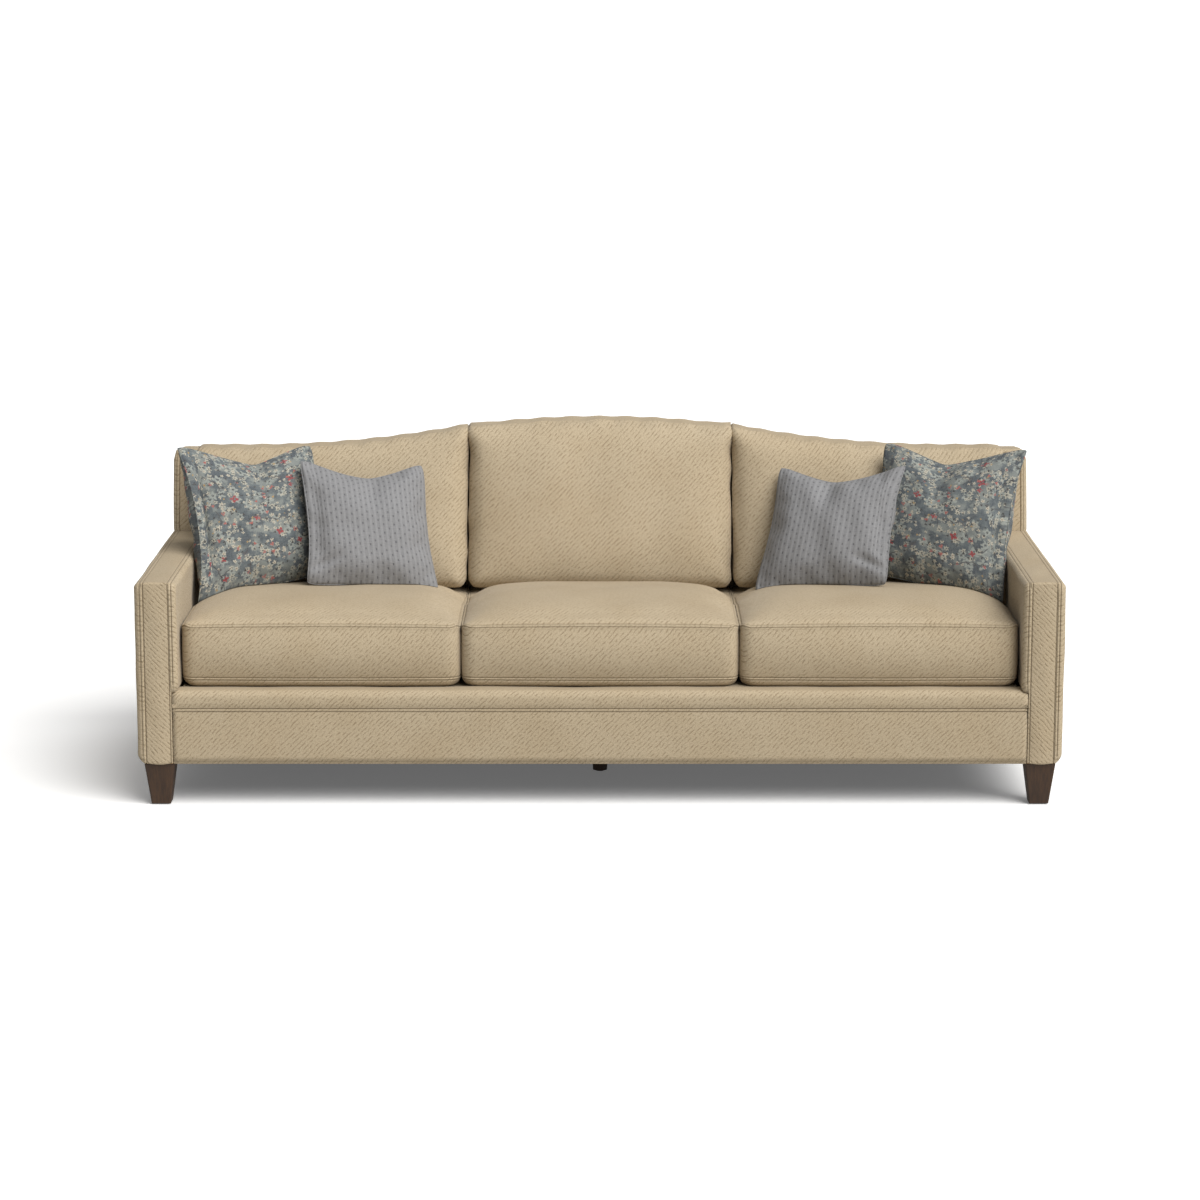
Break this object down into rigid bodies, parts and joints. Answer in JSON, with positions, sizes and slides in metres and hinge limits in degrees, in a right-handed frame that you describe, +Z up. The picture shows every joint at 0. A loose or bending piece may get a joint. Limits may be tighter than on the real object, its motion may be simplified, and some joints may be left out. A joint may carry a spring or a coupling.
{
  "type": "sofa",
  "caption": "Three-seat camel-back sofa with straight padded arms, loose seat and back cushions, throw pillows and tapered wood legs.",
  "frame": {"origin": "on the floor, under the middle of the sofa's outer box", "axes": "+X to the sofa's own left arm as it is seen on the right from the front, +Y from the front to the back, +Z up"},
  "size_m": [2.36, 0.98, 0.905],
  "materials": {
    "ribbed_fabric": "beige upholstery fabric with nubby diagonal ribs",
    "floral_fabric": "slate blue cotton with a small all-over floral print",
    "dashed_fabric": "light grey cloth with dark stitched dashes",
    "cushion_core": "foam wrapped in polyester wadding",
    "pillow_fibre": "loose polyester fibre in a white inner bag",
    "padding": "soft upholstery padding",
    "felt": "pressed insulator felt",
    "webbing": "woven elastic webbing",
    "dust_cloth": "thin spunbonded black cloth",
    "lining": "plain woven lining cloth over the seat deck",
    "frame_wood": "sawn hardwood, unfinished",
    "leg_wood": "dark brown stained wood, satin",
    "steel": "plain steel",
    "paper_wire": "paper-covered tie wire",
    "glide_plastic": "nail-on plastic glide"
  },
  "bodies": {
    "base": {"arm_front_posts": "frame_wood", "arm_inside_foams": "padding", "arm_top_rails": "frame_wood", "back_pad": "padding", "back_posts": "frame_wood", "back_tack_rail": "frame_wood", "back_top_rail": "frame_wood", "back_uprights": "frame_wood", "back_webbing": "webbing", "bottom_back_rail": "frame_wood", "centre_support_leg": "leg_wood", "corner_blocks": "frame_wood", "corner_screws": "steel", "cross_bearers": "frame_wood", "deck_cloth": "lining", "deck_pad": "padding", "dust_cover": "dust_cloth", "front_edge_roll": "ribbed_fabric", "front_legs": "leg_wood", "front_rail": "frame_wood", "front_rail_panel": "ribbed_fabric", "inside_back_cover": "ribbed_fabric", "left_arm_boxing": "ribbed_fabric", "left_arm_inside_cover": "ribbed_fabric", "left_arm_outside_panel": "ribbed_fabric", "leg_bolts": "steel", "leg_glides": "glide_plastic", "leg_tee_nuts": "steel", "outside_back_panel": "ribbed_fabric", "rear_legs": "leg_wood", "right_arm_boxing": "ribbed_fabric", "right_arm_inside_cover": "ribbed_fabric", "right_arm_outside_panel": "ribbed_fabric", "seat_rear_rail": "frame_wood", "seat_springs": "steel", "side_rails": "frame_wood", "spring_clips": "steel", "spring_insulator": "felt", "spring_tie_wires": "paper_wire"},
    "seat_cushion_left": {"left_seat_cushion_cover": "ribbed_fabric", "left_seat_cushion_filling": "cushion_core"},
    "back_cushion_left": {"left_back_cushion_cover": "ribbed_fabric", "left_back_cushion_filling": "cushion_core"},
    "seat_cushion_centre": {"centre_seat_cushion_cover": "ribbed_fabric", "centre_seat_cushion_filling": "cushion_core"},
    "back_cushion_centre": {"centre_back_cushion_cover": "ribbed_fabric", "centre_back_cushion_filling": "cushion_core"},
    "seat_cushion_right": {"right_seat_cushion_cover": "ribbed_fabric", "right_seat_cushion_filling": "cushion_core"},
    "back_cushion_right": {"right_back_cushion_cover": "ribbed_fabric", "right_back_cushion_filling": "cushion_core"},
    "print_pillow_left": {"left_print_pillow_cover": "floral_fabric", "left_print_pillow_filling": "pillow_fibre"},
    "plain_pillow_left": {"left_plain_pillow_cover": "dashed_fabric", "left_plain_pillow_filling": "pillow_fibre"},
    "print_pillow_right": {"right_print_pillow_cover": "floral_fabric", "right_print_pillow_filling": "pillow_fibre"},
    "plain_pillow_right": {"right_plain_pillow_cover": "dashed_fabric", "right_plain_pillow_filling": "pillow_fibre"}
  },
  "joints": [
    {"name": "seat_cushion_left_slide", "type": "slide", "parent": "base", "child": "seat_cushion_left", "axis": [0, -1, 0], "range_m": [0, 0.7]},
    {"name": "back_cushion_left_lift", "type": "slide", "parent": "base", "child": "back_cushion_left", "axis": [0, 0.2149, 0.9766], "range_m": [0, 0.5]},
    {"name": "seat_cushion_centre_slide", "type": "slide", "parent": "base", "child": "seat_cushion_centre", "axis": [0, -1, 0], "range_m": [0, 0.7]},
    {"name": "back_cushion_centre_lift", "type": "slide", "parent": "base", "child": "back_cushion_centre", "axis": [0, 0.2149, 0.9766], "range_m": [0, 0.5]},
    {"name": "seat_cushion_right_slide", "type": "slide", "parent": "base", "child": "seat_cushion_right", "axis": [0, -1, 0], "range_m": [0, 0.7]},
    {"name": "back_cushion_right_lift", "type": "slide", "parent": "base", "child": "back_cushion_right", "axis": [0, 0.2149, 0.9766], "range_m": [0, 0.5]},
    {"name": "print_pillow_left_lift", "type": "slide", "parent": "back_cushion_left", "child": "print_pillow_left", "axis": [0, 0, 1], "range_m": [0, 0.45]},
    {"name": "plain_pillow_left_lift", "type": "slide", "parent": "print_pillow_left", "child": "plain_pillow_left", "axis": [0, -0.5, 0.866], "range_m": [0, 0.45]},
    {"name": "print_pillow_right_lift", "type": "slide", "parent": "back_cushion_right", "child": "print_pillow_right", "axis": [0, 0, 1], "range_m": [0, 0.45]},
    {"name": "plain_pillow_right_lift", "type": "slide", "parent": "print_pillow_right", "child": "plain_pillow_right", "axis": [0, -0.5, 0.866], "range_m": [0, 0.45]}
  ]
}
